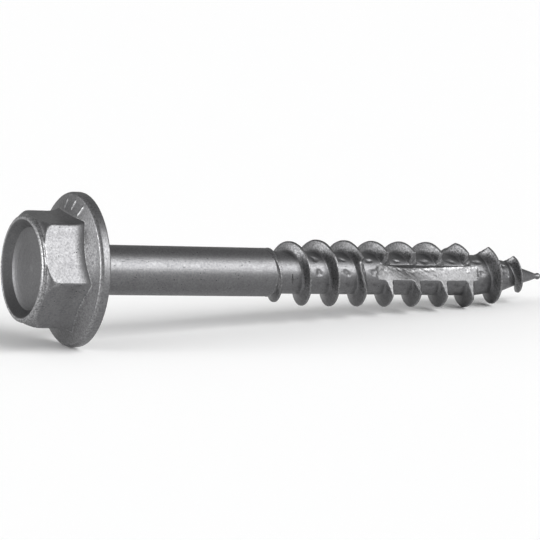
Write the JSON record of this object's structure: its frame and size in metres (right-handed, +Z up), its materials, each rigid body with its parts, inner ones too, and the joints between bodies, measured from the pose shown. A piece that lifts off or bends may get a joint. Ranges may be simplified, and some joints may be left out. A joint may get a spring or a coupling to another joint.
{
  "type": "lag screw",
  "caption": "Zinc-coated hex washer head lag screw with a cupped head, plain shank, coarse wood thread and a slotted self-drilling point, lying at rest.",
  "frame": {"origin": "centre of the footprint of the screw's bounding box, on the floor that it lies on", "axes": "+Z up; +X along the screw's length towards the point, which dips so that the flange rim and a thread crest touch the floor; +Y to the side, so the side with the cutting slot faces -Y"},
  "size_m": [0.0566, 0.0138, 0.0139],
  "materials": {
    "zinc_coated_steel": "dull mechanically zinc-coated forged steel: fine grain, small dark pits and scratches, brighter rubbed edges"
  },
  "bodies": {
    "root": {"lag_screw": "zinc_coated_steel"}
  },
  "joints": []
}
